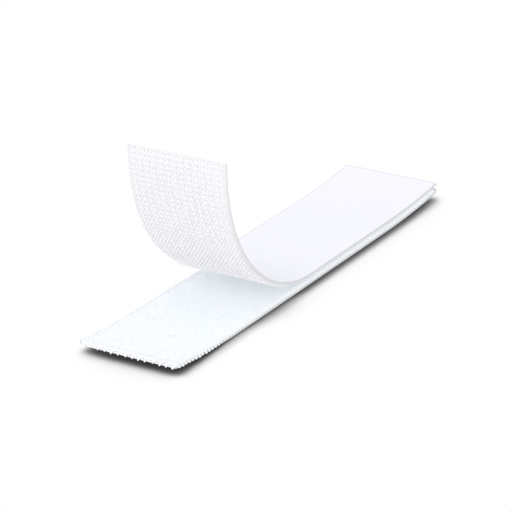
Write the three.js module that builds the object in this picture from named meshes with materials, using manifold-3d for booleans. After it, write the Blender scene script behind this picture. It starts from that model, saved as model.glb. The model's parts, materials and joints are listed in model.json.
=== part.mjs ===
// Pair of woven hook and loop tapes: closed at the far end, peeled open and curled up at the front.
// Millimetres, +Z up. The tapes run along X, and the back of the loop tape lies on Z = 0.
// The origin is under the middle of the loop tape. The peeled end points to -X.
import * as THREE from 'three';
import { mergeVertices } from 'three/addons/utils/BufferGeometryUtils.js';
import Module from 'manifold-3d';

const wasm = await Module();
wasm.setup();

// Both tapes, each cut to its own length, flush at the far end
const STRIP_WIDTH = 25;
const LOOP_LENGTH = 120;
const HOOK_LENGTH = 122;

// Loop tape, from its back up
const LOOP_COATING = 0.1;
const LOOP_GROUND = 0.45;
const LOOP_EDGE = 0.28;
const LOOP_SELVAGE = 1.2;
const PILE_HEIGHT = 0.55;
const PILE_SELVAGE = 1.5;

// Hook tape, from the hook tips up to its back
const CLOSING_CLEARANCE = 0.08;
const HOOK_HEIGHT = 0.8;
const HOOK_BASE = 0.15;
const HOOK_GROUND = 0.25;
const HOOK_COATING = 0.1;

// Peel: the length still closed, and the radius of the curl at the peel line and at the tip
const CLOSED_LENGTH = 62;
const PEEL_RADIUS = 33.5;
const TIP_RADIUS = 54;

// Bend lines: the hook tape bends at lines between stiff stretches
const CLOSED_STRETCHES = 4;
const FLAP_BENDS = 6;
const BEND_GAP = 0.12;
const ARC_STEPS = 3;

// Hooks: cut loops of monofilament in columns along the tape
const FILAMENT_RADIUS = 0.11;
const FILAMENT_SIDES = 3;
const HOOK_STEPS = 3;
const HOOK_REACH = 0.55;
const HOOK_OPENING = 0.3;
const HOOK_ROOT = 0.06;
const HOOK_SLANT = THREE.MathUtils.degToRad(35);
const HOOK_COLUMN_PITCH = 1.7;
const HOOK_ROW_PITCH = 5;
const HOOK_SELVAGE = 2;

// Levels above the back of the loop tape
const pileTop = LOOP_COATING + LOOP_GROUND + PILE_HEIGHT;
const hookRootLevel = pileTop + CLOSING_CLEARANCE + HOOK_HEIGHT;
const hookBacking = HOOK_BASE + HOOK_GROUND + HOOK_COATING;
const bendLevel = hookRootLevel + hookBacking / 2;

// Layers of the hook tape as offsets from the line that it bends on, towards its back
const hookFace = -hookBacking / 2;
const groundFace = hookFace + HOOK_BASE;
const coatingFace = groundFace + HOOK_GROUND;
const backFace = coatingFace + HOOK_COATING;

// Finishes, one material for each sub-part
function finish(color, roughness) {
  return new THREE.MeshStandardMaterial({ color, roughness, metalness: 0 });
}
const coatingFinish = () => finish(0xf6f7fb, 0.5);
const groundFinish = () => finish(0xf0f1f4, 0.85);
const pileFinish = () => finish(0xf4f5f9, 0.95);
const filamentFinish = () => finish(0xf5f5f6, 0.4);

function namedMesh(name, geometry, material) {
  const mesh = new THREE.Mesh(geometry, material);
  mesh.name = name;
  return mesh;
}

function extruded(outline, depth) {
  return new THREE.ExtrudeGeometry(new THREE.Shape(outline), { depth, bevelEnabled: false });
}

// Slab with an outline in X and Z, as wide as the tape
function slabAcrossTape(outline) {
  const slab = extruded(outline, STRIP_WIDTH);
  slab.rotateX(Math.PI / 2);
  slab.translate(0, STRIP_WIDTH / 2, 0);
  return slab;
}

// Slab with a section in Y and Z, as long as the loop tape
function slabAlongTape(section) {
  const slab = extruded(section, LOOP_LENGTH);
  slab.rotateX(Math.PI / 2);
  slab.rotateZ(Math.PI / 2);
  slab.translate(-LOOP_LENGTH / 2, 0, 0);
  return slab;
}

// Section of a layer that may be thinner at its two edges
function layerSection(width, bottom, top, edgeTop, edgeWidth) {
  const half = width / 2;
  return [
    new THREE.Vector2(-half, bottom),
    new THREE.Vector2(half, bottom),
    new THREE.Vector2(half, edgeTop),
    new THREE.Vector2(half - edgeWidth, top),
    new THREE.Vector2(edgeWidth - half, top),
    new THREE.Vector2(-half, edgeTop),
  ];
}

// Loop tape: back coating, woven ground with thinner selvages, and the pile pressed to its working height
function loopTape() {
  const groundTop = LOOP_COATING + LOOP_GROUND;
  const coating = layerSection(STRIP_WIDTH, 0, LOOP_COATING, LOOP_COATING, 0);
  const ground = layerSection(STRIP_WIDTH, LOOP_COATING, groundTop, LOOP_COATING + LOOP_EDGE, LOOP_SELVAGE);
  const pile = layerSection(STRIP_WIDTH - 2 * PILE_SELVAGE, groundTop, pileTop, pileTop, 0);
  const tape = new THREE.Group();
  tape.add(namedMesh('loop_back_coating', slabAlongTape(coating), coatingFinish()));
  tape.add(namedMesh('loop_ground_tape', slabAlongTape(ground), groundFinish()));
  tape.add(namedMesh('loop_pile', slabAlongTape(pile), pileFinish()));
  return tape;
}

// A stretch is a list of runs, each with its length and the angle that it turns through.
// It starts at its own origin along -X, and a positive turn lifts it towards its back, +Z.
function stretchLength(runs) {
  return runs.reduce((sum, run) => sum + run.length, 0);
}

function stationAt(runs, distance) {
  const station = { x: 0, z: 0, angle: 0 };
  let left = distance;
  for (const run of runs) {
    const length = Math.min(left, run.length);
    const next = station.angle + run.turn * (length / run.length);
    const chordAngle = (station.angle + next) / 2;
    const halfTurn = (next - station.angle) / 2;
    const chord = halfTurn === 0 ? length : length * (Math.sin(halfTurn) / halfTurn);
    station.x -= chord * Math.cos(chordAngle);
    station.z += chord * Math.sin(chordAngle);
    station.angle = next;
    left -= length;
  }
  return station;
}

function offsetFrom(station, offset) {
  return new THREE.Vector2(
    station.x + offset * Math.sin(station.angle),
    station.z + offset * Math.cos(station.angle),
  );
}

// Stations along a stretch, from one trimmed end to the other, with each arc in equal steps
function stationsAlong(runs, startTrim, endTrim) {
  const end = stretchLength(runs) - endTrim;
  const distances = [startTrim];
  let runStart = 0;
  for (const run of runs) {
    const steps = run.turn === 0 ? 1 : ARC_STEPS;
    for (let step = 1; step <= steps; step += 1) {
      distances.push(Math.min(runStart + run.length * (step / steps), end));
    }
    runStart += run.length;
  }
  return distances.map((distance) => stationAt(runs, distance));
}

function layerSlab(stations, lower, upper) {
  const top = stations.map((station) => offsetFrom(station, upper));
  const bottom = stations.map((station) => offsetFrom(station, lower));
  return slabAcrossTape([...top, ...bottom.reverse()]);
}

function toManifold(geometry) {
  const bare = geometry.clone();
  bare.deleteAttribute('normal');
  bare.deleteAttribute('uv');
  const merged = mergeVertices(bare);
  return new wasm.Manifold(new wasm.Mesh({
    numProp: 3,
    vertProperties: new Float32Array(merged.attributes.position.array),
    triVerts: new Uint32Array(merged.index.array),
  }));
}

function toGeometry(solid) {
  const mesh = solid.getMesh();
  const geometry = new THREE.BufferGeometry();
  geometry.setAttribute('position', new THREE.BufferAttribute(mesh.vertProperties, 3));
  geometry.setIndex(new THREE.BufferAttribute(mesh.triVerts, 1));
  geometry.computeVertexNormals();
  return geometry;
}

// One hook: a filament that rises out of the ground, bends over and ends in the air, centred on its reach.
// The curve's two handles are level, and so high that its middle reaches the crown.
function hookFilament() {
  const crown = HOOK_HEIGHT - FILAMENT_RADIUS;
  const handle = (8 * crown + HOOK_ROOT - HOOK_OPENING) / 6;
  const path = new THREE.CubicBezierCurve3(
    new THREE.Vector3(-HOOK_REACH / 2, 0, HOOK_ROOT),
    new THREE.Vector3(-HOOK_REACH / 2, 0, -handle),
    new THREE.Vector3(HOOK_REACH / 2, 0, -handle),
    new THREE.Vector3(HOOK_REACH / 2, 0, -HOOK_OPENING),
  );
  const section = new THREE.Shape();
  for (let side = 0; side < FILAMENT_SIDES; side += 1) {
    const angle = (2 * Math.PI * side) / FILAMENT_SIDES;
    const corner = new THREE.Vector2(FILAMENT_RADIUS, 0).rotateAround(new THREE.Vector2(), angle);
    if (side === 0) {
      section.moveTo(corner.x, corner.y);
    } else {
      section.lineTo(corner.x, corner.y);
    }
  }
  return new THREE.ExtrudeGeometry(section, { extrudePath: path, steps: HOOK_STEPS });
}

// Hooks of one stretch fused to the face of the ground tape that holds them.
// Neighbouring columns are half a row apart and hook opposite ways.
function hookField(runs, stations) {
  const length = stretchLength(runs);
  const rows = Math.max(1, Math.round(length / HOOK_ROW_PITCH));
  const rowPitch = length / rows;
  const columns = Math.floor((STRIP_WIDTH - 2 * HOOK_SELVAGE) / HOOK_COLUMN_PITCH) + 1;
  const hook = hookFilament();
  let field = toManifold(layerSlab(stations, hookFace, groundFace));
  for (let column = 0; column < columns; column += 1) {
    const y = (column - (columns - 1) / 2) * HOOK_COLUMN_PITCH;
    const odd = column % 2 === 1;
    const firstRow = odd ? (3 * rowPitch) / 4 : rowPitch / 4;
    const heading = odd ? HOOK_SLANT + Math.PI : HOOK_SLANT;
    for (let row = 0; row < rows; row += 1) {
      const station = stationAt(runs, firstRow + row * rowPitch);
      const root = offsetFrom(station, hookFace);
      const placed = hook.clone();
      placed.rotateZ(heading);
      placed.rotateY(station.angle);
      placed.translate(root.x, y, root.y);
      field = field.add(toManifold(placed));
    }
  }
  return toGeometry(field);
}

// One bend of the flap: half of its turn lies on each side of its bend line
const bendLength = (HOOK_LENGTH - CLOSED_LENGTH) / FLAP_BENDS;

function halfBend(index) {
  const share = (index + 0.5) / FLAP_BENDS;
  const curvature = THREE.MathUtils.lerp(1 / PEEL_RADIUS, 1 / TIP_RADIUS, share);
  return { length: bendLength / 2, turn: (bendLength * curvature) / 2 };
}

// Stretches of the hook tape from its far end to its tip, each with its name
function hookStretches() {
  const flat = { length: CLOSED_LENGTH / CLOSED_STRETCHES, turn: 0 };
  const stretches = [];
  for (let index = 1; index <= CLOSED_STRETCHES; index += 1) {
    const runs = index < CLOSED_STRETCHES ? [flat] : [flat, halfBend(0)];
    stretches.push({ name: `closed_${index}`, runs });
  }
  for (let index = 1; index <= FLAP_BENDS; index += 1) {
    const runs = index < FLAP_BENDS ? [halfBend(index - 1), halfBend(index)] : [halfBend(index - 1)];
    stretches.push({ name: `flap_${index}`, runs });
  }
  return stretches;
}

// Hook tape: each stretch hangs on the bend line at the end of the one before it
function hookTape() {
  const tape = new THREE.Group();
  tape.position.set(LOOP_LENGTH / 2, 0, bendLevel);
  const stretches = hookStretches();
  let bendLine = tape;
  stretches.forEach(({ name, runs }, index) => {
    const startTrim = index === 0 ? 0 : BEND_GAP / 2;
    const endTrim = index === stretches.length - 1 ? 0 : BEND_GAP / 2;
    const stations = stationsAlong(runs, startTrim, endTrim);
    const ground = layerSlab(stations, groundFace, coatingFace);
    const coating = layerSlab(stations, coatingFace, backFace);
    bendLine.add(namedMesh(`hook_field_${name}`, hookField(runs, stations), filamentFinish()));
    bendLine.add(namedMesh(`hook_ground_tape_${name}`, ground, groundFinish()));
    bendLine.add(namedMesh(`hook_back_coating_${name}`, coating, coatingFinish()));
    const end = stationAt(runs, stretchLength(runs));
    const nextLine = new THREE.Group();
    nextLine.name = `bend_after_${name}`;
    nextLine.position.set(end.x, 0, end.z);
    nextLine.rotation.y = end.angle;
    bendLine.add(nextLine);
    bendLine = nextLine;
  });
  return tape;
}

const tapePair = new THREE.Group();
tapePair.name = 'hook_and_loop_tape_pair';
tapePair.add(loopTape());
tapePair.add(hookTape());

export default tapePair;
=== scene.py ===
"""Dresses the solids of a hook and loop tape pair: woven tapes, hooks, looped pile and cut ends."""

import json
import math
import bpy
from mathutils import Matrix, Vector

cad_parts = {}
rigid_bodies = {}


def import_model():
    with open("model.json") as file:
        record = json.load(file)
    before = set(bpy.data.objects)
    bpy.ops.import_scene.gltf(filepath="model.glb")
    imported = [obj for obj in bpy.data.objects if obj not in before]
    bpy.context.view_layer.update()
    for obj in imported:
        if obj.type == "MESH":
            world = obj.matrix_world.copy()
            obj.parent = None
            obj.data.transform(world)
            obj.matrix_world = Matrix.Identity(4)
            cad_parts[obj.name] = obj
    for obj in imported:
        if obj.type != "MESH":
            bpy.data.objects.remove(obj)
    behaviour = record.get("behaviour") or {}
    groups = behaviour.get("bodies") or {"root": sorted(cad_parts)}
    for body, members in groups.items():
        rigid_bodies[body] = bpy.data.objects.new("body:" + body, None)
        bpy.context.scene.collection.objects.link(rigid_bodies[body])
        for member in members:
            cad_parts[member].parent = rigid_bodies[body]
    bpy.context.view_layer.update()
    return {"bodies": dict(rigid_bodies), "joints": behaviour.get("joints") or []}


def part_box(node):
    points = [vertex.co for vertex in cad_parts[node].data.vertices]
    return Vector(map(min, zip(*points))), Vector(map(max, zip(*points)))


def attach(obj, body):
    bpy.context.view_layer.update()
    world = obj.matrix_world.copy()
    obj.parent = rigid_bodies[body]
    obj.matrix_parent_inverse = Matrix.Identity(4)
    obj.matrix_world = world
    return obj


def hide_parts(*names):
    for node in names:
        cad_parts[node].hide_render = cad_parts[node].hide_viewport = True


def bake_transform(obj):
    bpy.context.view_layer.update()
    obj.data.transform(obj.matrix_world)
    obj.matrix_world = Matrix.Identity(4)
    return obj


bl_info = {
    "name": "Hook and loop tape pair",
    "version": (1, 0, 0),
    "blender": (4, 5, 0),
    "location": "View3D > Sidebar > Tape",
    "description": "Models the cloth, hooks and pile of a peeled pair of tapes over their solids",
    "category": "Object",
}

import bpy
import numpy as np
from bpy.props import FloatProperty, FloatVectorProperty, IntProperty, PointerProperty
from mathutils import Vector, noise

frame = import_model()

MM = 0.001
FULL_TURN = 2 * math.pi
PLACE = "tape_place"

# What the solids fix

CLOSED_BODIES = sorted(b for b in frame["bodies"] if b.startswith("hook_closed_"))
FLAP_BODIES = sorted(b for b in frame["bodies"] if b.startswith("hook_flap_"))
HINGES = np.array([joint["pos_m"] for joint in frame["joints"] if joint["type"] == "hinge"])
HINGE_TOLERANCE = 0.05 * MM
LOOP_BACK_LOW, LOOP_BACK_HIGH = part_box("loop_back_coating")
LOOP_WEAVE_LOW, LOOP_WEAVE_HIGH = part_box("loop_ground_tape")
PILE_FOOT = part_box("loop_pile")[0].z
HOOK_BACK_LOW, HOOK_BACK_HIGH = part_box("hook_back_coating_closed_1")
HOOK_ROOT_SLICE = 0.15 * MM
HOOK_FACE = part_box("hook_ground_tape_closed_1")[0].z - HOOK_ROOT_SLICE
HALF_TAPE = (HOOK_BACK_HIGH.z - HOOK_FACE) / 2
FILM = HOOK_BACK_HIGH.z - HOOK_BACK_LOW.z


def length_property(name, description, default):
    return FloatProperty(
        name=name, description=description, default=default, unit="LENGTH", precision=5, min=0.0
    )


def colour_property(name, description, default):
    return FloatVectorProperty(
        name=name, description=description, default=default, subtype="COLOR", size=3, min=0.0, max=1.0
    )


class TapeSizes(bpy.types.PropertyGroup):
    """Sizes of the two tapes that the solids fix, and of the detail that they leave out"""

    tape_width: length_property("Tape width", "Width of both tapes", LOOP_BACK_HIGH.y - LOOP_BACK_LOW.y)
    loop_length: length_property(
        "Loop length", "Length of the loop tape", LOOP_BACK_HIGH.x - LOOP_BACK_LOW.x
    )
    hook_length: length_property("Hook length", "Length of the hook tape along its curl", 122 * MM)
    closed_length: length_property("Closed length", "Length that is still closed", 62 * MM)
    peel_radius: length_property("Peel radius", "Radius of the curl at the peel line", 33.5 * MM)
    tip_radius: length_property("Tip radius", "Radius of the curl at the tip", 54 * MM)
    end_lift: length_property("End lift", "Height that the cut ends spring up", 1.4 * MM)
    lift_reach: length_property("Lift reach", "Length of tape that springs up at an end", 26 * MM)
    hook_height: length_property("Hook height", "Height of a hook above the weave", 1.1 * MM)
    hook_reach: length_property("Hook reach", "Width of the arch of a hook", 0.48 * MM)
    filament: length_property("Filament", "Radius of the hook filament", 0.19 * MM)
    column_pitch: length_property("Column pitch", "Distance between columns of hooks", 0.88 * MM)
    row_pitch: length_property("Row pitch", "Distance between hooks in a column", 1.33 * MM)
    selvage_pitch: length_property("Selvage pitch", "Distance between weft turns", 1.36 * MM)
    tuft_pitch: length_property("Tuft pitch", "Distance between yarn ends at a cut", 1.85 * MM)
    pile_pitch: length_property("Pile pitch", "Distance between loops of the pile", 0.5 * MM)
    loop_radius: length_property("Loop radius", "Radius of one loop of the pile", 0.24 * MM)
    fibre: length_property("Fibre", "Radius of a pile fibre", 0.04 * MM)
    column_count: IntProperty(
        name="Columns", description="Columns of hooks across the tape", default=27, min=2
    )


class TapeColours(bpy.types.PropertyGroup):
    """Colours of the finishes"""

    back_coating: colour_property("Coating", "Smooth resin back", (0.895, 0.872, 0.94))
    # Painted shade: the weave is coloured darker than the white nylon hooks, for the shade between the
    # hooks.
    ground_weave: colour_property("Weave", "Woven ground with painted shade", (0.812, 0.798, 0.815))
    loop_pile: colour_property("Pile", "Brushed loops", (0.925, 0.957, 0.985))
    hook_filament: colour_property("Hooks", "Hook filament", (0.92, 0.894, 0.914))
    loose_yarn: colour_property("Yarn", "Weft turns and cut yarn ends", (0.87, 0.885, 0.9))
    floor: colour_property("Floor", "Floor and backdrop", (1.0, 1.0, 1.0))


def tape_sizes():
    return bpy.context.scene.tape_sizes


def tape_colours():
    return bpy.context.scene.tape_colours


# Shape of the tapes

def bend_length(size):
    return (size.hook_length - size.closed_length) / len(FLAP_BODIES)


def stretch_length(size):
    return size.closed_length / len(CLOSED_BODIES)


def tape_runs(size):
    """Lengths and turns of the hook tape from its far end: the closed part, then its bends."""
    runs = [(size.closed_length, 0.0)]
    count = len(FLAP_BODIES)
    for index in range(count):
        share = (index + 0.5) / count
        curvature = (1 - share) / size.peel_radius + share / size.tip_radius
        runs.append((bend_length(size), bend_length(size) * curvature))
    return runs


def bend_line(size, along):
    """X, Z and slope of the hook tape's middle layer at distances from its far end."""
    x = np.full(along.shape, LOOP_BACK_HIGH.x)
    z = np.full(along.shape, HOOK_FACE + HALF_TAPE)
    slope = np.zeros(along.shape)
    start = 0.0
    for length, turn in tape_runs(size):
        part = np.clip(along - start, 0, length)
        half = turn * part / length / 2
        chord = part * np.sinc(half / math.pi)
        x -= chord * np.cos(slope + half)
        z += chord * np.sin(slope + half)
        slope += 2 * half
        start += length
    over = along - np.clip(along, 0, start)
    return x - over * np.cos(slope), z + over * np.sin(slope), slope


def check_hinges(size):
    """Raises an error unless the curl worked out here runs through the hinges of the solids."""
    along = [index * stretch_length(size) for index in range(1, len(CLOSED_BODIES))]
    for index in range(len(FLAP_BODIES)):
        along.append(size.closed_length + (index + 0.5) * bend_length(size))
    x, z, _ = bend_line(size, np.array(along))
    missed = np.hypot(x - HINGES[:, 0], z - HINGES[:, 2]).max()
    if missed > HINGE_TOLERANCE:
        raise ValueError(f"the curl of the hook tape misses a hinge by {missed / MM:.2f} mm")


def end_lift(size, along):
    """Lift of both tapes near their cut ends, and its slope."""
    near = np.clip((size.lift_reach - along) / size.lift_reach, 0, None)
    far = np.clip((along - size.loop_length + size.lift_reach) / size.lift_reach, 0, None)
    lift = size.end_lift * (near**2 + far**2)
    return lift, 2 * size.end_lift * (far - near) / size.lift_reach


def on_loop_tape(size, flat):
    """Moves points from the flat layout (along, across, up) to the loop tape."""
    lift, rise = end_lift(size, flat[:, 0])
    tilt = np.arctan(rise)
    x = LOOP_BACK_HIGH.x - flat[:, 0] + flat[:, 2] * np.sin(tilt)
    return np.stack([x, flat[:, 1], lift + flat[:, 2] * np.cos(tilt)], 1)


def on_hook_tape(size, flat):
    """Moves points from the flat layout (along, across, towards the back) to the hook tape."""
    x, z, slope = bend_line(size, flat[:, 0])
    lift, rise = end_lift(size, flat[:, 0])
    tilt = slope + np.arctan(rise)
    x = x + lift * np.sin(slope) + flat[:, 2] * np.sin(tilt)
    z = z + lift * np.cos(slope) + flat[:, 2] * np.cos(tilt)
    return np.stack([x, flat[:, 1], z], 1)


class Span:
    """Length of hook tape that bends at one line, between the middles of two stiff stretches."""

    def __init__(self, name, bodies, ends, middles):
        self.name = name
        self.bodies = bodies
        self.start, self.end = ends
        self.middles = np.array(middles)
        self.closed = name.startswith("peel")

    def nodes(self, layer):
        return [f"{layer}_{body.removeprefix('hook_')}" for body in self.bodies]

    def bend(self, size, piece):
        x, z, _ = bend_line(size, self.middles)
        start, end = ((float(px), 0.0, float(pz)) for px, pz in zip(x, z))
        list(self.bodies)
        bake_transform(piece)


def hook_spans(size):
    bodies = CLOSED_BODIES + FLAP_BODIES
    closed = len(CLOSED_BODIES)
    stretch = stretch_length(size)
    spans = []
    for index in range(1, closed):
        middle = (index - 0.5) * stretch
        first = 0.0 if index == 1 else middle
        last = size.closed_length if index == closed - 1 else middle + stretch
        pair = bodies[index - 1 : index + 1]
        spans.append(Span(f"peel_{index}", pair, (first, last), (middle, middle + stretch)))
    for index in range(len(FLAP_BODIES)):
        first = size.closed_length + index * bend_length(size)
        last = first + bend_length(size)
        pair = bodies[closed + index - 1 : closed + index + 1]
        spans.append(Span(f"curl_{index + 1}", pair, (first, last), (first, last)))
    return spans


# Modelling steps

def start_piece():
    bpy.ops.object.select_all(action="DESELECT")


def pick_only(obj):
    start_piece()
    obj.select_set(True)
    bpy.context.view_layer.objects.active = obj


def name_piece(obj, name):
    obj.name = name
    obj.data.name = name
    return obj


def apply_place():
    bpy.ops.object.transform_apply(location=True, rotation=True, scale=True)


def edit_all():
    bpy.ops.object.mode_set(mode="EDIT")
    bpy.ops.mesh.select_all(action="SELECT")


def leave_edit():
    bpy.ops.object.mode_set(mode="OBJECT")


def face_outward():
    """Turns all faces of the mesh that is being edited outward, and leaves edit mode."""
    bpy.ops.mesh.select_all(action="SELECT")
    bpy.ops.mesh.normals_make_consistent(inside=False)
    leave_edit()


def turn_outward(obj):
    pick_only(obj)
    edit_all()
    face_outward()


def points_of(obj):
    co = np.empty(len(obj.data.vertices) * 3)
    obj.data.vertices.foreach_get("co", co)
    return co.reshape(-1, 3)


def lay_flat_piece(obj, flat, onto):
    """Moves a piece from the flat layout to a tape, and stores its flat place in mm for materials."""
    place = obj.data.attributes.new(PLACE, "FLOAT_VECTOR", "POINT")
    place.data.foreach_set("vector", (flat / MM).astype(np.float32).ravel())
    points = np.ascontiguousarray(onto(tape_sizes(), flat), dtype=np.float32)
    obj.data.vertices.foreach_set("co", points.ravel())
    obj.data.update()


def smooth(obj, angle=40):
    pick_only(obj)
    bpy.ops.object.shade_smooth_by_angle(angle=math.radians(angle))


def smooth_all_over(obj):
    pick_only(obj)
    bpy.ops.object.shade_smooth()


def tape_slab(name, start, end, half_width, row_step, columns):
    """Closed slab in the flat layout, one unit thick, with columns closer together at its edges."""
    start_piece()
    rows = max(1, round((end - start) / row_step))
    bpy.ops.mesh.primitive_grid_add(
        x_subdivisions=rows, y_subdivisions=columns, size=1, location=((start + end) / 2, 0, 0)
    )
    slab = name_piece(bpy.context.object, name)
    bpy.ops.transform.resize(value=(end - start, 2 * half_width, 1))
    apply_place()
    edit_all()
    bpy.ops.mesh.extrude_region_move(TRANSFORM_OT_translate={"value": (0, 0, 1)})
    face_outward()
    flat = points_of(slab)
    across = flat[:, 1] / half_width
    flat[:, 1] = half_width * (1.5 * across - 0.5 * across**3)
    return slab, flat


def rounded(edge_distance, radius, kept):
    """Share of the full thickness that a slab has near its edge, from the share kept at the edge."""
    inside = np.clip(edge_distance / radius, 0, 1)
    return kept + (1 - kept) * np.sqrt(1 - (1 - inside) ** 2)


def array_copies(obj, offset, count):
    pick_only(obj)
    copies = obj.modifiers.new("Copies", "ARRAY")
    copies.count = count
    copies.use_relative_offset = False
    copies.use_constant_offset = True
    copies.constant_offset_displace = offset
    bpy.ops.object.modifier_apply(modifier=copies.name)


def copy_piece(obj, name):
    pick_only(obj)
    bpy.ops.object.duplicate()
    return name_piece(bpy.context.object, name)


def join_pieces(pieces, name):
    start_piece()
    for piece in pieces:
        piece.select_set(True)
    bpy.context.view_layer.objects.active = pieces[0]
    bpy.ops.object.join()
    return name_piece(bpy.context.object, name)


def remove_piece(obj):
    pick_only(obj)
    bpy.ops.object.delete()


def turned(points, yaw, lean):
    """Leans each copy's points over to its +X, then turns them about its upright."""
    x, y, z = points[..., 0], points[..., 1], points[..., 2]
    leaning = x * np.cos(lean) + z * np.sin(lean)
    height = z * np.cos(lean) - x * np.sin(lean)
    return np.stack(
        [leaning * np.cos(yaw) - y * np.sin(yaw), leaning * np.sin(yaw) + y * np.cos(yaw), height], -1
    )


# Materials

THROUGH_TINT = (0.985, 0.993, 1.0, 1.0)
WEAVE_PITCH = (0.38, 0.49)


def add_node(tree, kind, group=None, **inputs):
    node = tree.nodes.new(kind)
    if group:
        node.node_tree = group
    for name, value in inputs.items():
        node.inputs[name.replace("_", " ")].default_value = value
    return node


def math_node(tree, operation, first, second=None):
    node = tree.nodes.new("ShaderNodeMath")
    node.operation = operation
    for socket, value in zip(node.inputs, (first, second)):
        if isinstance(value, (int, float)):
            socket.default_value = value
        elif value is not None:
            tree.links.new(value, socket)
    return node.outputs[0]


def colour_mix(tree, factor, first):
    """Mix of two colours, the second of which the caller sets or links at B."""
    node = tree.nodes.new("ShaderNodeMix")
    node.data_type = "RGBA"
    tree.links.new(factor, node.inputs["Factor"])
    tree.links.new(first, node.inputs["A"])
    return node


def mix_shaders(tree, factor, first, second, result):
    mixed = tree.nodes.new("ShaderNodeMixShader")
    tree.links.new(factor, mixed.inputs["Fac"])
    tree.links.new(first.outputs[0], mixed.inputs[1])
    tree.links.new(second.outputs[0], mixed.inputs[2])
    tree.links.new(mixed.outputs["Shader"], result.inputs["Surface"])


def new_group(name, inputs, outputs):
    group = bpy.data.node_groups.new(name, "ShaderNodeTree")
    sockets = group.interface
    for label, kind, default in inputs:
        socket = sockets.new_socket(name=label, in_out="INPUT", socket_type=f"NodeSocket{kind}")
        if default is not None:
            socket.default_value = default
    for label, kind in outputs:
        sockets.new_socket(name=label, in_out="OUTPUT", socket_type=f"NodeSocket{kind}")
    return group, group.nodes.new("NodeGroupInput"), group.nodes.new("NodeGroupOutput")


def place_group(tree, group, place, **inputs):
    node = add_node(tree, "ShaderNodeGroup", group, **inputs)
    tree.links.new(place, node.inputs["Place"])
    return node


def weave_group():
    """Plain weave: yarns that pass over and under each other, as a height from 0 to 1."""
    found = bpy.data.node_groups.get("Tape weave")
    if found:
        return found
    group, given, result = new_group(
        "Tape weave",
        [
            ("Place", "Vector", None),
            ("Along", "Float", 0.75),
            ("Across", "Float", 0.97),
            ("Wander", "Float", 0.1),
        ],
        [("Height", "Float")],
    )
    wander = add_node(group, "ShaderNodeTexNoise", Scale=0.9, Detail=2.0)
    group.links.new(given.outputs["Place"], wander.inputs["Vector"])
    drift = math_node(group, "MULTIPLY", wander.outputs["Fac"], given.outputs["Wander"])
    split = group.nodes.new("ShaderNodeSeparateXYZ")
    group.links.new(given.outputs["Place"], split.inputs[0])
    waves = []
    for axis, pitch in (("X", "Along"), ("Y", "Across")):
        moved = math_node(group, "ADD", split.outputs[axis], drift)
        phase = math_node(group, "DIVIDE", moved, given.outputs[pitch])
        waves.append(math_node(group, "SINE", math_node(group, "MULTIPLY", phase, math.pi)))
    crossing = math_node(group, "MULTIPLY", waves[0], waves[1])
    height = math_node(group, "MULTIPLY_ADD", crossing, 0.5)
    height.node.inputs[2].default_value = 0.5
    group.links.new(height, result.inputs["Height"])
    return group


def mottle_group():
    """Slight unevenness of colour and height that every thread and coating has."""
    found = bpy.data.node_groups.get("Thread mottle")
    if found:
        return found
    group, given, result = new_group(
        "Thread mottle",
        [
            ("Place", "Vector", None),
            ("Colour", "Color", (1, 1, 1, 1)),
            ("Shade", "Color", (0.8, 0.8, 0.85, 1)),
            ("Scale", "Float", 1.0),
            ("Amount", "Float", 0.1),
        ],
        [("Colour", "Color"), ("Height", "Float")],
    )
    speckle = add_node(group, "ShaderNodeTexNoise", Detail=3.0, Roughness=0.6)
    group.links.new(given.outputs["Place"], speckle.inputs["Vector"])
    group.links.new(given.outputs["Scale"], speckle.inputs["Scale"])
    share = math_node(group, "MULTIPLY", speckle.outputs["Fac"], given.outputs["Amount"])
    mixed = colour_mix(group, share, given.outputs["Colour"])
    group.links.new(given.outputs["Shade"], mixed.inputs["B"])
    group.links.new(mixed.outputs["Result"], result.inputs["Colour"])
    group.links.new(speckle.outputs["Fac"], result.inputs["Height"])
    return group


def painted_edge_shade_group():
    """Mask of a band of painted shade along a tape's edges: its far end, its +Y edge and a share of its
    -Y edge.
    """
    found = bpy.data.node_groups.get("Painted edge shade")
    if found:
        return found
    group, given, result = new_group(
        "Painted edge shade",
        [
            ("Place", "Vector", None),
            ("Half width", "Float", 12.5),
            ("Band", "Float", 0.5),
            ("Other edge", "Float", 1.0),
        ],
        [("Mask", "Float")],
    )
    split = group.nodes.new("ShaderNodeSeparateXYZ")
    group.links.new(given.outputs["Place"], split.inputs[0])
    mirrored = math_node(group, "MULTIPLY", given.outputs["Other edge"], -1.0)
    other = math_node(group, "MULTIPLY", split.outputs["Y"], mirrored)
    outward = math_node(group, "MAXIMUM", split.outputs["Y"], other)
    side = math_node(group, "SUBTRACT", given.outputs["Half width"], outward)
    nearest = math_node(group, "MINIMUM", side, split.outputs["X"])
    inside = math_node(group, "DIVIDE", nearest, given.outputs["Band"])
    inside.node.use_clamp = True
    fading = math_node(group, "POWER", inside, 2.0)
    group.links.new(math_node(group, "SUBTRACT", 1.0, fading), result.inputs["Mask"])
    return group


def opaque(colour, share=1.0):
    return tuple(share * c for c in colour) + (1.0,)


def let_light_through(tree, surface, share):
    """Lets a share of the light pass, but not the sight, as thin white nylon does."""
    path = tree.nodes.new("ShaderNodeLightPath")
    indirect = math_node(tree, "MAXIMUM", path.outputs["Is Shadow Ray"], path.outputs["Is Diffuse Ray"])
    clear = add_node(tree, "ShaderNodeBsdfTransparent", Color=THROUGH_TINT)
    passing = math_node(tree, "MULTIPLY", indirect, share)
    mix_shaders(tree, passing, surface, clear, tree.nodes["Material Output"])


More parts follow.
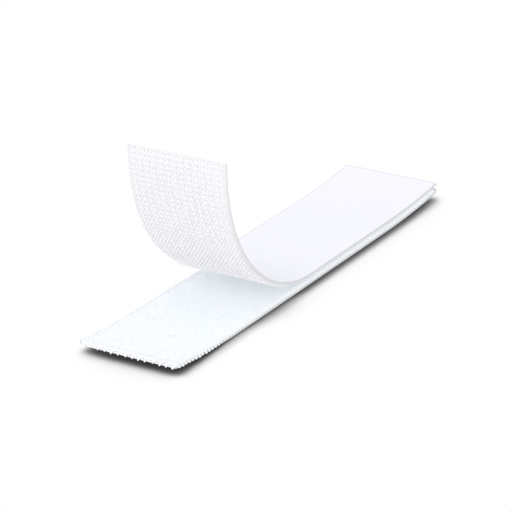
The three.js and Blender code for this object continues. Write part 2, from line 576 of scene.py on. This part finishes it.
def tape_material(
    name, colour, *, shade, roughness, mottle, weave=None, bump, relief, through=0.0, edge=None
):
    """Finish of one layer of a tape: a mottled colour, and a relief from the weave or from the mottle.

    The mottle is its scale and the most that it takes of the shade, the weave is the pitch of its yarns
    along and across, the relief is in millimetres, through is the share of light that passes, and the
    edge is the width, brightness and share on the -Y side of a band of painted shade along the edges.
    """
    found = bpy.data.materials.get(name)
    if found:
        return found
    material = bpy.data.materials.new(name)
    material.use_nodes = True
    tree = material.node_tree
    surface = tree.nodes["Principled BSDF"]
    surface.inputs["Roughness"].default_value = roughness
    stored = tree.nodes.new("ShaderNodeAttribute")
    stored.attribute_name = PLACE
    place = stored.outputs["Vector"]
    scale, amount = mottle
    uneven = place_group(tree, mottle_group(), place, Scale=scale, Amount=amount)
    uneven.inputs["Colour"].default_value = opaque(colour)
    uneven.inputs["Shade"].default_value = opaque(shade)
    shown, height = uneven.outputs["Colour"], uneven.outputs["Height"]
    # Painted shade: the band along the edges is mixed towards a darker copy of the colour.
    if edge:
        band, brightness, other = edge
        half = tape_sizes().tape_width / 2 / MM
        mask = place_group(tree, painted_edge_shade_group(), place, Half_width=half, Band=band, Other_edge=other)
        painted_edge_shade = colour_mix(tree, mask.outputs["Mask"], shown)
        painted_edge_shade.inputs["B"].default_value = opaque(colour, brightness)
        shown = painted_edge_shade.outputs["Result"]
    tree.links.new(shown, surface.inputs["Base Color"])
    if weave:
        along, across = weave
        height = place_group(tree, weave_group(), place, Along=along, Across=across).outputs["Height"]
    raised = add_node(tree, "ShaderNodeBump", Strength=bump, Distance=relief * MM)
    tree.links.new(height, raised.inputs["Height"])
    tree.links.new(raised.outputs["Normal"], surface.inputs["Normal"])
    if through:
        let_light_through(tree, surface, through)
    return material


def coating_finish():
    """Smooth lavender white that turns bluish in broad patches, with the weave just showing through."""
    return tape_material(
        "Smooth back coating",
        tape_colours().back_coating,
        shade=(0.85, 0.885, 0.94),
        roughness=0.5,
        mottle=(0.045, 0.8),
        weave=WEAVE_PITCH,
        bump=0.12,
        relief=0.02,
        through=0.96,
        # Painted shade: a thin darker line along both edges and the far end.
        edge=(0.35, 0.72, 1.0),
    )


def weave_finish():
    """Matt woven nylon, coloured darker than the hooks as painted shade between them, with a band of
    painted shade along its edges.
    """
    return tape_material(
        "Woven ground with painted shade",
        tape_colours().ground_weave,
        shade=(0.76, 0.76, 0.8),
        roughness=0.85,
        mottle=(2.5, 0.25),
        weave=WEAVE_PITCH,
        bump=0.6,
        relief=0.05,
        through=0.96,
        # Painted shade: a wide darker band along both selvages and the far end.
        edge=(1.0, 0.9, 1.0),
    )


def pile_material(name, **looks):
    """Soft brushed yarn, slightly blotched."""
    return tape_material(
        name,
        tape_colours().loop_pile,
        shade=(0.78, 0.8, 0.82),
        roughness=0.95,
        mottle=(0.8, 0.2),
        # Painted shade: a darker band along the +Y edge and the far end only, none on the -Y edge.
        edge=(0.8, 0.55, 0.0),
        **looks,
    )


def pile_finish():
    """Matted bed of the pile."""
    return pile_material("Looped pile", bump=0.5, relief=0.08)


def fibre_finish():
    """Single fibres of the pile, too thin to hold back the light."""
    return pile_material("Pile fibre", bump=0.2, relief=0.02, through=0.8)


def yarn_finish():
    """White yarn of the weft turns and the cut ends."""
    return tape_material(
        "Loose yarn",
        tape_colours().loose_yarn,
        shade=(0.7, 0.72, 0.75),
        roughness=0.95,
        mottle=(2.0, 0.25),
        bump=0.5,
        relief=0.06,
    )


def hook_finish():
    """Smooth monofilament."""
    return tape_material(
        "Hook filament",
        tape_colours().hook_filament,
        shade=(0.8, 0.8, 0.82),
        roughness=0.7,
        mottle=(1.5, 0.12),
        bump=0.1,
        relief=0.01,
        through=0.92,
    )


def finish_piece(obj, material):
    obj.data.materials.clear()
    obj.data.materials.append(material)


# Loop tape

TURN_ROOM = 0.25 * MM
COATING_ROUNDING, COATING_EDGE_SHARE = 0.1 * MM, 0.6
COATING_ROW_STEP, COATING_COLUMNS = 2 * MM, 16


def at_height(level):
    """Height function of a level face."""
    return lambda flat: np.full(len(flat), level)


def loosened(size, along):
    """Share by which the selvages are loose: all by the near cut end, none further back."""
    return np.clip(2 - 2 * (size.loop_length - along) / size.lift_reach, 0, 1)


def loop_slab(name, bottom, top, half_width, row_step, columns, room=0.0):
    """Layer of the loop tape between two heights, which are functions of the flat layout.

    Where the selvages are loose, the layer leaves room at its edges for the weft turns.
    """
    size = tape_sizes()
    slab, flat = tape_slab(name, 0, size.loop_length, half_width, row_step, columns)
    flat[:, 1] *= 1 - room * loosened(size, flat[:, 0]) / half_width
    low, high = bottom(flat), top(flat)
    flat[:, 2] = low + flat[:, 2] * (high - low)
    lay_flat_piece(slab, flat, on_loop_tape)
    return slab


def ride_loop_tape(piece, node=None):
    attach(piece, "loop_strip")
    if node:
        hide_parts(node)


class TAPE_OT_loop_backing(bpy.types.Operator):
    """Resin coating on the underside of the loop tape"""

    bl_idname = "tape.loop_backing"
    bl_label = "Loop tape backing"

    def execute(self, context):
        half = tape_sizes().tape_width / 2
        top, thickness = LOOP_BACK_HIGH.z, LOOP_BACK_HIGH.z - LOOP_BACK_LOW.z

        def bottom(flat):
            share = rounded(half - abs(flat[:, 1]), COATING_ROUNDING, COATING_EDGE_SHARE)
            return top - thickness * share

        name, level = "loop_tape_backing", at_height(top)
        backing = loop_slab(name, bottom, level, half, COATING_ROW_STEP, COATING_COLUMNS, TURN_ROOM)
        smooth(backing)
        finish_piece(backing, coating_finish())
        ride_loop_tape(backing, "loop_back_coating")
        return {"FINISHED"}


SELVAGE_WIDTH, SELVAGE_HEIGHT = 1.2 * MM, 0.28 * MM
WEFT_RIB = 0.02 * MM
WEFT_ROWS, WEFT_COLUMNS = 6, 24
TURN_HALF_SIZES = (0.4 * MM, 0.45 * MM, 0.33 * MM)
TURN_LEVEL, TURN_DROP = 0.32 * MM, 0.04 * MM
TURN_SET_IN, TURN_LOOSENING = 0.44 * MM, 0.48 * MM
TURN_SLANT, TURN_SLANT_SPREAD = math.radians(24), 0.12
TURN_GROWTH, TURN_SHIFT, TURN_SEED = (0.9, 1.1), 0.03 * MM, 11


class TAPE_OT_loop_weave(bpy.types.Operator):
    """Woven ground of the loop tape, with the weft turns that bead its two selvages"""

    bl_idname = "tape.loop_weave"
    bl_label = "Loop tape weave"

    def execute(self, context):
        size = tape_sizes()
        half = size.tape_width / 2
        low, high = LOOP_WEAVE_LOW.z, LOOP_WEAVE_HIGH.z

        def top(flat):
            inside = np.clip((half - abs(flat[:, 1])) / SELVAGE_WIDTH, 0, 1)
            rib = WEFT_RIB * np.sin(FULL_TURN * flat[:, 0] / size.selvage_pitch)
            return low + SELVAGE_HEIGHT + (high - low - SELVAGE_HEIGHT) * inside + rib

        name, step = "loop_tape_weave", size.selvage_pitch / WEFT_ROWS
        weave = loop_slab(name, at_height(low), top, half, step, WEFT_COLUMNS, TURN_ROOM)
        smooth(weave)
        finish_piece(weave, weave_finish())
        ride_loop_tape(weave, "loop_ground_tape")
        self.weft_turns(size, half, low + TURN_LEVEL)
        return {"FINISHED"}

    def weft_turns(self, size, half, level):
        """Turns of the weft round the selvages, looser and lower towards the near cut end."""
        start_piece()
        bpy.ops.mesh.primitive_uv_sphere_add(segments=8, ring_count=6, radius=1)
        turn = name_piece(bpy.context.object, "loop_tape_weft_turns")
        bpy.ops.transform.resize(value=TURN_HALF_SIZES)
        apply_place()
        shape = points_of(turn)
        rows = round(size.loop_length / size.selvage_pitch)
        array_copies(turn, (size.selvage_pitch, 0, 0), rows)
        array_copies(turn, (0, 1, 0), 2)
        rng = np.random.default_rng(TURN_SEED)
        spread = (2, rows, 1)
        grow = rng.uniform(*TURN_GROWTH, spread + (1,))
        side = np.array([-1.0, 1.0]).reshape(2, 1, 1)
        yaw = side * TURN_SLANT + rng.normal(0, TURN_SLANT_SPREAD, spread)
        copies = np.broadcast_to(shape, spread[:2] + shape.shape)
        points = turned(copies * grow, yaw, np.zeros(spread))
        along = (np.arange(rows) + 0.5) * (size.loop_length / rows)
        loose = loosened(size, along).reshape(1, rows, 1)
        stands_out = TURN_LOOSENING * loose - TURN_SET_IN
        points[..., 0] += along.reshape(1, rows, 1)
        points[..., 1] += side * (half + stands_out + rng.normal(0, TURN_SHIFT, spread))
        points[..., 2] += level - TURN_DROP * loose
        lay_flat_piece(turn, points.reshape(-1, 3), on_loop_tape)
        turn_outward(turn)
        smooth_all_over(turn)
        finish_piece(turn, yarn_finish())
        ride_loop_tape(turn)


BED_SET_IN, BED_OVERLAP, BED_HEIGHT = 0.12 * MM, 0.06 * MM, 0.42 * MM
BED_ROUNDING, BED_EDGE_SHARE = 0.7 * MM, 0.3
BED_ROW_STEP, BED_COLUMNS = 0.4 * MM, 60
RIDGE_HEIGHT, RIDGE_SET_IN, RIDGE_WIDTH = 0.28 * MM, 0.6 * MM, 0.55 * MM
RIDGE_STARTS_BEFORE_PEEL, RIDGE_RISE = 2 * MM, 10 * MM
TUFT_SPACING, TUFT_DEPTH = 0.8 * MM, 0.07 * MM
HOLLOW_SPACING, HOLLOW_DEPTH = 4.5 * MM, 0.05 * MM
LOOP_SUNK, LOOP_SUNK_SPREAD = 0.12 * MM, 0.03 * MM
LOOP_STRETCH, LOOP_RISE, LOOP_LEAN_SPREAD = (0.7, 1.3), (0.6, 1.0), 0.45
LOOP_FOOT_SHARE, LOOP_SHIFT_SHARE, LOOP_SEED = 0.1, 0.4, 23
FRAYED_LENGTH, FRAYED_GROWTH = 1.8 * MM, 0.9


class TAPE_OT_loop_pile(bpy.types.Operator):
    """Pile of the loop tape: a matted bed, and the loops that stand out of it"""

    bl_idname = "tape.loop_pile"
    bl_label = "Loop tape pile"

    def execute(self, context):
        size = tape_sizes()
        half = size.tape_width / 2 - BED_SET_IN
        self.bed(size, half)
        self.loops(size, half)
        return {"FINISHED"}

    def height(self, size, half, along, across):
        """Height of the matted bed, fuller along the open edges, where no hooks press it down."""
        inside = np.clip(half - abs(across), 0, None)
        opened = along - size.closed_length + RIDGE_STARTS_BEFORE_PEEL
        ridge = RIDGE_HEIGHT * np.clip(opened / RIDGE_RISE, 0, 1)
        full = ridge * np.exp(-(((inside - RIDGE_SET_IN) / RIDGE_WIDTH) ** 2))
        return PILE_FOOT + (BED_HEIGHT + full) * rounded(inside, BED_ROUNDING, BED_EDGE_SHARE)

    def bed(self, size, half):
        def top(flat):
            level = flat * (1, 1, 0)
            tufts = np.array([noise.noise(Vector(p) / TUFT_SPACING) for p in level])
            hollows = np.array([noise.noise(Vector(p) / HOLLOW_SPACING) for p in level])
            rough = tufts * TUFT_DEPTH + hollows * HOLLOW_DEPTH
            return self.height(size, half, flat[:, 0], flat[:, 1]) + rough

        bottom = at_height(PILE_FOOT - BED_OVERLAP)
        bed = loop_slab("loop_tape_pile_bed", bottom, top, half, BED_ROW_STEP, BED_COLUMNS)
        smooth(bed, angle=80)
        finish_piece(bed, pile_finish())
        ride_loop_tape(bed, "loop_pile")

    def loops(self, size, half):
        start_piece()
        bpy.ops.mesh.primitive_torus_add(
            major_segments=8,
            minor_segments=3,
            major_radius=size.loop_radius,
            minor_radius=size.fibre,
            rotation=(math.pi / 2, 0, 0),
        )
        loop = name_piece(bpy.context.object, "loop_pattern")
        apply_place()
        edit_all()
        bpy.ops.mesh.bisect(
            plane_co=(0, 0, -LOOP_FOOT_SHARE * size.loop_radius),
            plane_no=(0, 0, 1),
            use_fill=True,
            clear_inner=True,
        )
        face_outward()
        rng = np.random.default_rng(LOOP_SEED)
        middle = size.loop_length / 2
        self.field(size, half, loop, "loop_tape_pile_loops_far", 0, middle, rng)
        self.field(size, half, loop, "loop_tape_pile_loops_near", middle, size.loop_length, rng)
        remove_piece(loop)

    def field(self, size, half, loop, name, start, end, rng):
        """Loops over one length of the tape, each turned, leaning and stretched its own way."""
        shape = points_of(loop)
        rows = int((end - start) / size.pile_pitch)
        columns = int(2 * half / size.pile_pitch)
        field = copy_piece(loop, name)
        array_copies(field, (size.pile_pitch, 0, 0), rows)
        array_copies(field, (0, size.pile_pitch, 0), columns)
        spread = (columns, rows, 1)
        points = np.broadcast_to(shape, spread[:2] + shape.shape).copy()
        points[..., 0] *= rng.uniform(*LOOP_STRETCH, spread)
        points[..., 2] *= rng.uniform(*LOOP_RISE, spread)
        yaw = rng.uniform(0, FULL_TURN, spread)
        points = turned(points, yaw, rng.normal(0, LOOP_LEAN_SPREAD, spread))
        along = start + (np.arange(rows) + 0.5) * ((end - start) / rows)
        across = (np.arange(columns) + 0.5) * (2 * half / columns) - half
        frayed = np.clip(1 - np.minimum(along, size.loop_length - along) / FRAYED_LENGTH, 0, 1)
        points *= 1 + FRAYED_GROWTH * frayed.reshape(1, rows, 1, 1)
        shift = LOOP_SHIFT_SHARE * size.pile_pitch
        points[..., 0] += along.reshape(1, rows, 1) + rng.uniform(-shift, shift, spread)
        points[..., 1] += across.reshape(columns, 1, 1) + rng.uniform(-shift, shift, spread)
        sunk = LOOP_SUNK + rng.normal(0, LOOP_SUNK_SPREAD, spread)
        points[..., 2] += self.height(size, half, points[..., 0], points[..., 1]) - sunk
        lay_flat_piece(field, points.reshape(-1, 3), on_loop_tape)
        smooth_all_over(field)
        finish_piece(field, fibre_finish())
        ride_loop_tape(field)


CUT_ROWS = 4
CUT_MARGIN = 0.6 * MM
CUT_LOWER_ROW, CUT_ROW_RISE = 0.42 * MM, 0.38 * MM
CUT_GROWTH, CUT_GROWTH_LOSS = (0.65, 0.95), 0.3
CUT_DROOP, CUT_DROOP_LOSS = (0.45, 0.75), 0.5
CUT_FLATTENED, CUT_SHIFT, CUT_SEED = 0.75, 0.12 * MM, 5
CORE_RADII, CORE_LENGTH, CORE_SIDES = (0.48 * MM, 0.22 * MM), 1.0 * MM, 10
STRAND_RADII, STRAND_COUNT, STRAND_SIDES = (0.085 * MM, 0.035 * MM), 16, 5
STRAND_LENGTHS, STRAND_TILT = (0.75 * MM, 1.18 * MM), 0.42
STRAND_ROOT = 0.2 * MM


class TAPE_OT_loop_cut_ends(bpy.types.Operator):
    """Yarn ends that tuft the two cut ends of the loop tape"""

    bl_idname = "tape.loop_cut_ends"
    bl_label = "Loop tape cut ends"

    def execute(self, context):
        """Lays a lower and a smaller upper row of tufts at the far end, then two at the near end."""
        size = tape_sizes()
        rng = np.random.default_rng(CUT_SEED)
        tuft = self.tuft(rng)
        shape = points_of(tuft)
        count = round(size.tape_width / size.tuft_pitch)
        array_copies(tuft, (0, size.tuft_pitch, 0), count)
        array_copies(tuft, (1, 0, 0), CUT_ROWS)
        upper = np.array([0.0, 1.0, 0.0, 1.0]).reshape(CUT_ROWS, 1, 1)
        far, near = slice(0, 2), slice(2, 4)
        spread = (CUT_ROWS, count, 1)
        points = np.broadcast_to(shape, spread[:2] + shape.shape).copy()
        points *= (rng.uniform(*CUT_GROWTH, spread) * (1 - CUT_GROWTH_LOSS * upper))[..., None]
        spin = rng.uniform(0, FULL_TURN, spread)
        y, z = points[..., 1].copy(), points[..., 2].copy()
        points[..., 1] = y * np.cos(spin) - z * np.sin(spin)
        points[..., 2] = (y * np.sin(spin) + z * np.cos(spin)) * CUT_FLATTENED
        droop = rng.uniform(*CUT_DROOP, spread) * (1 - CUT_DROOP_LOSS * upper)
        points = turned(points, np.zeros(spread), droop)
        points[far, ..., 0] *= -1
        across = ((np.arange(count) + 0.5) / count - 0.5) * (size.tape_width - CUT_MARGIN)
        shifted = (upper - 0.5) * 0.4 * size.tuft_pitch
        points[..., 1] += across.reshape(1, count, 1) + shifted + rng.normal(0, CUT_SHIFT, spread)
        points[near, ..., 0] += size.loop_length
        points[..., 2] += CUT_LOWER_ROW + CUT_ROW_RISE * upper
        lay_flat_piece(tuft, points.reshape(-1, 3), on_loop_tape)
        turn_outward(tuft)
        smooth(tuft, angle=75)
        finish_piece(tuft, yarn_finish())
        ride_loop_tape(tuft)
        return {"FINISHED"}

    def tuft(self, rng):
        """Cut yarn end: a blunt core with fibres that fan out of it, along +X."""
        parts = [self.strand(CORE_RADII, CORE_LENGTH, Vector((1, 0, 0)), CORE_SIDES)]
        for _ in range(STRAND_COUNT):
            tilt, around = rng.uniform(0, STRAND_TILT), rng.uniform(0, FULL_TURN)
            sideways = Vector((0, math.cos(around), math.sin(around)))
            heading = Vector((math.cos(tilt), 0, 0)) + math.sin(tilt) * sideways
            reach = rng.uniform(*STRAND_LENGTHS)
            parts.append(self.strand(STRAND_RADII, reach, heading, STRAND_SIDES))
        tuft = join_pieces(parts, "loop_tape_cut_tufts")
        apply_place()
        return tuft

    def strand(self, radii, length, heading, sides):
        start_piece()
        bpy.ops.mesh.primitive_cone_add(
            vertices=sides,
            radius1=radii[0],
            radius2=radii[1],
            depth=length,
            location=heading * (length / 2 - STRAND_ROOT),
            rotation=heading.to_track_quat("Z", "Y").to_euler(),
        )
        return bpy.context.object


# Hook tape

FILM_ROUNDING, FILM_EDGE_SHARE = 0.4 * MM, 0.35
FILM_ROW_STEP, HOOK_TAPE_COLUMNS = 0.5 * MM, 24


class TAPE_OT_hook_backing(bpy.types.Operator):
    """Smooth coating on the back of the hook tape, one piece for each bend line"""

    bl_idname = "tape.hook_backing"
    bl_label = "Hook tape backing"

    def execute(self, context):
        size = tape_sizes()
        check_hinges(size)
        half = size.tape_width / 2
        for span in hook_spans(size):
            name = f"hook_tape_backing_{span.name}"
            slab, flat = tape_slab(name, span.start, span.end, half, FILM_ROW_STEP, HOOK_TAPE_COLUMNS)
            thick = FILM * rounded(half - abs(flat[:, 1]), FILM_ROUNDING, FILM_EDGE_SHARE)
            flat[:, 2] = HALF_TAPE - FILM + flat[:, 2] * thick
            lay_flat_piece(slab, flat, on_hook_tape)
            smooth(slab)
            finish_piece(slab, coating_finish())
            span.bend(size, slab)
            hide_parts(*span.nodes("hook_back_coating"))
        return {"FINISHED"}


FACE_ROUNDING, FACE_EDGE_SHARE = 0.25 * MM, 0.85
FACE_ROW_STEP = 0.125 * MM
FACE_RIB, FACE_RIB_MARGIN = 0.035 * MM, 1 * MM


class TAPE_OT_hook_weave(bpy.types.Operator):
    """Woven ground of the hook tape, ribbed by its weft, one piece for each bend line"""

    bl_idname = "tape.hook_weave"
    bl_label = "Hook tape weave"

    def execute(self, context):
        size = tape_sizes()
        half = size.tape_width / 2
        seam = HALF_TAPE - FILM
        for span in hook_spans(size):
            name = f"hook_tape_weave_{span.name}"
            slab, flat = tape_slab(name, span.start, span.end, half, FACE_ROW_STEP, HOOK_TAPE_COLUMNS)
            edge = half - abs(flat[:, 1])
            wave = np.sin(FULL_TURN * flat[:, 0] / (size.row_pitch / 2))
            rib = FACE_RIB * wave * np.clip(edge / FACE_RIB_MARGIN, 0, 1)
            face = seam - (seam + HALF_TAPE) * rounded(edge, FACE_ROUNDING, FACE_EDGE_SHARE) + rib
            flat[:, 2] = face + flat[:, 2] * (seam - face)
            lay_flat_piece(slab, flat, on_hook_tape)
            smooth(slab, angle=60)
            finish_piece(slab, weave_finish())
            span.bend(size, slab)
            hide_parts(*span.nodes("hook_ground_tape"))
        return {"FINISHED"}


HOOK_SIDES, HOOK_ARCH_STEPS, HOOK_ARCH = 5, 6, math.radians(205)
HOOK_SLANT = math.radians(-33)
HOOK_ROOTED = 0.05 * MM
HOOK_GROWTH, HOOK_SHIFT, HOOK_SEED = (0.97, 1.03), 0.015 * MM, 41
HOOK_SLANT_SPREAD, HOOK_LEAN_SPREAD = 0.03, 0.02
CUT_LEG_SHARE, CUT_LEG_TAPER = 0.4, 0.8


class TAPE_OT_hook_rows(bpy.types.Operator):
    """Rows of hooks, with columns that hook opposite ways in turn, one piece for each bend line"""

    bl_idname = "tape.hook_rows"
    bl_label = "Hook tape hooks"

    def execute(self, context):
        size = tape_sizes()
        hook = self.hook(size)
        shape = points_of(hook)
        rng = np.random.default_rng(HOOK_SEED)
        first = size.row_pitch / 2
        for span in hook_spans(size):
            low = math.ceil((span.start - first) / size.row_pitch)
            rows = math.ceil((span.end - first) / size.row_pitch) - low
            along = first + (low + np.arange(rows)) * size.row_pitch
            parts, places = [], []
            for odd in (0, 1):
                columns = (size.column_count + 1 - odd) // 2
                part = copy_piece(hook, f"hook_tape_hooks_{span.name}")
                array_copies(part, (size.row_pitch, 0, 0), rows)
                array_copies(part, (0, 2 * size.column_pitch, 0), columns)
                column = 2 * np.arange(columns) + odd - (size.column_count - 1) / 2
                places.append(self.placed(shape, along, column * size.column_pitch, odd, rng))
                parts.append(part)
            field = join_pieces(parts, f"hook_tape_hooks_{span.name}")
            lay_flat_piece(field, np.concatenate(places), on_hook_tape)
            turn_outward(field)
            smooth(field, angle=60)
            finish_piece(field, hook_finish())
            span.bend(size, field)
            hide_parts(*span.nodes("hook_field"))
        remove_piece(hook)
        return {"FINISHED"}

    def hook(self, size):
        """One hook and the stub of its cut leg, standing on the weave and hooking to +X."""
        radius = size.filament
        arch = size.hook_reach / 2
        stem = size.hook_height - arch - radius
        start_piece()
        bpy.ops.mesh.primitive_circle_add(
            vertices=HOOK_SIDES, radius=radius, fill_type="NGON", location=(-arch, 0, 0)
        )
        hook = name_piece(bpy.context.object, "hook_pattern")
        apply_place()
        edit_all()
        bpy.ops.mesh.extrude_region_move(TRANSFORM_OT_translate={"value": (0, 0, stem)})
        bpy.ops.mesh.spin(steps=HOOK_ARCH_STEPS, angle=HOOK_ARCH, center=(0, 0, stem), axis=(0, 1, 0))
        bpy.ops.mesh.select_all(action="SELECT")
        bpy.ops.mesh.remove_doubles(threshold=0.01 * radius)
        bpy.ops.mesh.select_all(action="DESELECT")
        bpy.ops.mesh.select_interior_faces()
        bpy.ops.mesh.delete(type="ONLY_FACE")
        bpy.ops.mesh.select_all(action="SELECT")
        bpy.ops.mesh.fill_holes(sides=0)
        leave_edit()
        start_piece()
        leg = CUT_LEG_SHARE * stem
        bpy.ops.mesh.primitive_cone_add(
            vertices=HOOK_SIDES,
            radius1=radius,
            radius2=CUT_LEG_TAPER * radius,
            depth=leg,
            location=(arch, 0, leg / 2),
        )
        hook = join_pieces([hook, bpy.context.object], "hook_pattern")
        apply_place()
        turn_outward(hook)
        return hook

    def placed(self, shape, along, across, odd, rng):
        """Points of one set of columns in the flat layout, each hook a little different."""
        spread = (len(across), len(along), 1)
        points = np.broadcast_to(shape, spread[:2] + shape.shape).copy()
        points[..., 2] *= rng.uniform(*HOOK_GROWTH, spread)
        yaw = HOOK_SLANT + math.pi * odd + rng.normal(0, HOOK_SLANT_SPREAD, spread)
        points = turned(points, yaw, rng.normal(0, HOOK_LEAN_SPREAD, spread))
        points[..., 0] += along.reshape(1, -1, 1) + rng.normal(0, HOOK_SHIFT, spread)
        points[..., 1] += across.reshape(-1, 1, 1) + rng.normal(0, HOOK_SHIFT, spread)
        points[..., 2] = HOOK_ROOTED - HALF_TAPE - points[..., 2]
        return points.reshape(-1, 3)


class TAPE_OT_declare_cloth(bpy.types.Operator):
    """Goes through the spans of the hook tape, and changes nothing"""

    bl_idname = "tape.declare_cloth"
    bl_label = "Declare the woven tapes"

    def execute(self, context):
        size = tape_sizes()
        for span in hook_spans(size):
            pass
        return {"FINISHED"}


# Stage

FLOOR_SIZE, FLOOR_DROP, FLOOR_BOUNCE = 8, 0.02 * MM, 0.9
WORLD_LEVEL = 0.95
LAMP_PLACE, LAMP_WIDTH, LAMP_POWER = (-0.75, 0.05, 0.42), 0.7, 2.4
CAMERA_AZIMUTH, CAMERA_ELEVATION = math.radians(-59.5), math.radians(22.5)
CAMERA_DISTANCE, CAMERA_TARGET = 0.704, Vector((5.6 * MM, 6.65 * MM, 0))
FOCAL_PIXELS, IMAGE_PIXELS, SENSOR_WIDTH = 3018, 512, 36

# Each soft shadow has the way to look from the floor, how far, the open share of the darkest and of the
# unshaded floor, and the darkest level: under the tape, towards its front and towards its right edge

FLOOR_SHADES = (
    ((0.0, 0.0, 1.0), 0.8 * MM, (0.4, 0.95), 0.8),
    ((0.66, 0.42, 0.36), 13 * MM, (0.2, 0.9), 0.02),
    ((0.0, 0.8, 0.3), 3.5 * MM, (0.42, 1.0), 0.22),
)


class TAPE_OT_stage(bpy.types.Operator):
    """White floor that keeps a soft shadow, even light from above, and the camera"""

    bl_idname = "tape.stage"
    bl_label = "Stage"

    def execute(self, context):
        scene = context.scene
        scene.view_settings.view_transform = "Standard"
        self.floor()
        self.world(scene)
        self.lamp("Front softbox")
        self.camera(scene)
        return {"FINISHED"}

    def floor(self):
        start_piece()
        bpy.ops.mesh.primitive_plane_add(size=FLOOR_SIZE, location=(0, 0, -FLOOR_DROP))
        floor = name_piece(bpy.context.object, "floor")
        apply_place()
        material = bpy.data.materials.new("White floor")
        material.use_nodes = True
        tree = material.node_tree
        tree.nodes.clear()
        seen = self.seen_directly(tree)
        lit = 1.0
        for shade in FLOOR_SHADES:
            lit = math_node(tree, "MULTIPLY", self.shade(tree, *shade), lit)
        shine = tree.nodes.new("ShaderNodeEmission")
        tree.links.new(lit, shine.inputs["Color"])
        bounce = add_node(
            tree, "ShaderNodeBsdfDiffuse", Color=opaque(tape_colours().floor, FLOOR_BOUNCE)
        )
        mix_shaders(tree, seen, bounce, shine, tree.nodes.new("ShaderNodeOutputMaterial"))
        floor.data.materials.append(material)

    def seen_directly(self, tree):
        path = tree.nodes.new("ShaderNodeLightPath")
        total = math_node(tree, "ADD", path.outputs["Is Camera Ray"], path.outputs["Is Glossy Ray"])
        total = math_node(tree, "ADD", total, path.outputs["Is Transmission Ray"])
        return math_node(tree, "MINIMUM", total, 1.0)

    def shade(self, tree, towards, reach, ends, darkest):
        """Soft shadow on the floor: how much of the space on one side is filled by the tape."""
        heading = add_node(tree, "ShaderNodeCombineXYZ", **dict(zip("XYZ", towards)))
        open_space = add_node(tree, "ShaderNodeAmbientOcclusion", Distance=reach)
        open_space.samples = 16
        tree.links.new(heading.outputs[0], open_space.inputs["Normal"])
        scaled = add_node(
            tree, "ShaderNodeMapRange", From_Min=ends[0], From_Max=ends[1], To_Min=darkest
        )
        scaled.interpolation_type = "SMOOTHSTEP"
        tree.links.new(open_space.outputs["AO"], scaled.inputs["Value"])
        return scaled.outputs["Result"]

    def world(self, scene):
        """White surroundings, a little dimmer as a light than to the eye."""
        world = bpy.data.worlds.new("White surroundings")
        scene.world = world
        world.use_nodes = True
        tree = world.node_tree
        tree.nodes.clear()
        white = opaque(tape_colours().floor)
        seen = self.seen_directly(tree)
        light = add_node(tree, "ShaderNodeBackground", Color=white, Strength=WORLD_LEVEL)
        shown = add_node(tree, "ShaderNodeBackground", Color=white, Strength=1.0)
        mix_shaders(tree, seen, light, shown, tree.nodes.new("ShaderNodeOutputWorld"))

    def lamp(self, name):
        start_piece()
        bpy.ops.object.light_add(type="AREA", location=LAMP_PLACE)
        lamp = name_piece(bpy.context.object, name)
        lamp.data.energy = LAMP_POWER
        lamp.data.size = LAMP_WIDTH
        lamp.rotation_euler = (-Vector(LAMP_PLACE)).to_track_quat("-Z", "Y").to_euler()

    def camera(self, scene):
        x, y = math.sin(CAMERA_AZIMUTH), -math.cos(CAMERA_AZIMUTH)
        level = math.cos(CAMERA_ELEVATION)
        away = Vector((x * level, y * level, math.sin(CAMERA_ELEVATION)))
        start_piece()
        bpy.ops.object.camera_add(location=CAMERA_TARGET + away * CAMERA_DISTANCE)
        camera = bpy.context.object
        camera.rotation_euler = (-away).to_track_quat("-Z", "Y").to_euler()
        camera.data.sensor_width = SENSOR_WIDTH
        camera.data.lens = FOCAL_PIXELS / IMAGE_PIXELS * SENSOR_WIDTH
        camera.data.clip_start = 0.01
        camera.data.clip_end = 20
        scene.camera = camera


STEPS = (
    TAPE_OT_loop_backing,
    TAPE_OT_loop_weave,
    TAPE_OT_loop_pile,
    TAPE_OT_loop_cut_ends,
    TAPE_OT_hook_backing,
    TAPE_OT_hook_weave,
    TAPE_OT_hook_rows,
    TAPE_OT_declare_cloth,
    TAPE_OT_stage,
)


class TAPE_PT_panel(bpy.types.Panel):
    """Sizes, colours and modelling steps of the tape pair"""

    bl_idname = "TAPE_PT_panel"
    bl_label = "Hook and loop tape"
    bl_space_type = "VIEW_3D"
    bl_region_type = "UI"
    bl_category = "Tape"

    def draw(self, context):
        for group in (context.scene.tape_sizes, context.scene.tape_colours):
            box = self.layout.box()
            for name in group.__annotations__:
                box.prop(group, name)
        for step in STEPS:
            self.layout.operator(step.bl_idname)


CLASSES = (TapeSizes, TapeColours, *STEPS, TAPE_PT_panel)


def register():
    for cls in CLASSES:
        bpy.utils.register_class(cls)
    bpy.types.Scene.tape_sizes = PointerProperty(type=TapeSizes)
    bpy.types.Scene.tape_colours = PointerProperty(type=TapeColours)


def unregister():
    del bpy.types.Scene.tape_colours
    del bpy.types.Scene.tape_sizes
    for cls in reversed(CLASSES):
        bpy.utils.unregister_class(cls)


def main():
    register()
    bpy.ops.tape.loop_backing()
    bpy.ops.tape.loop_weave()
    bpy.ops.tape.loop_pile()
    bpy.ops.tape.loop_cut_ends()
    bpy.ops.tape.hook_backing()
    bpy.ops.tape.hook_weave()
    bpy.ops.tape.hook_rows()
    bpy.ops.tape.declare_cloth()
    bpy.ops.tape.stage()


if __name__ == "__main__":
    main()
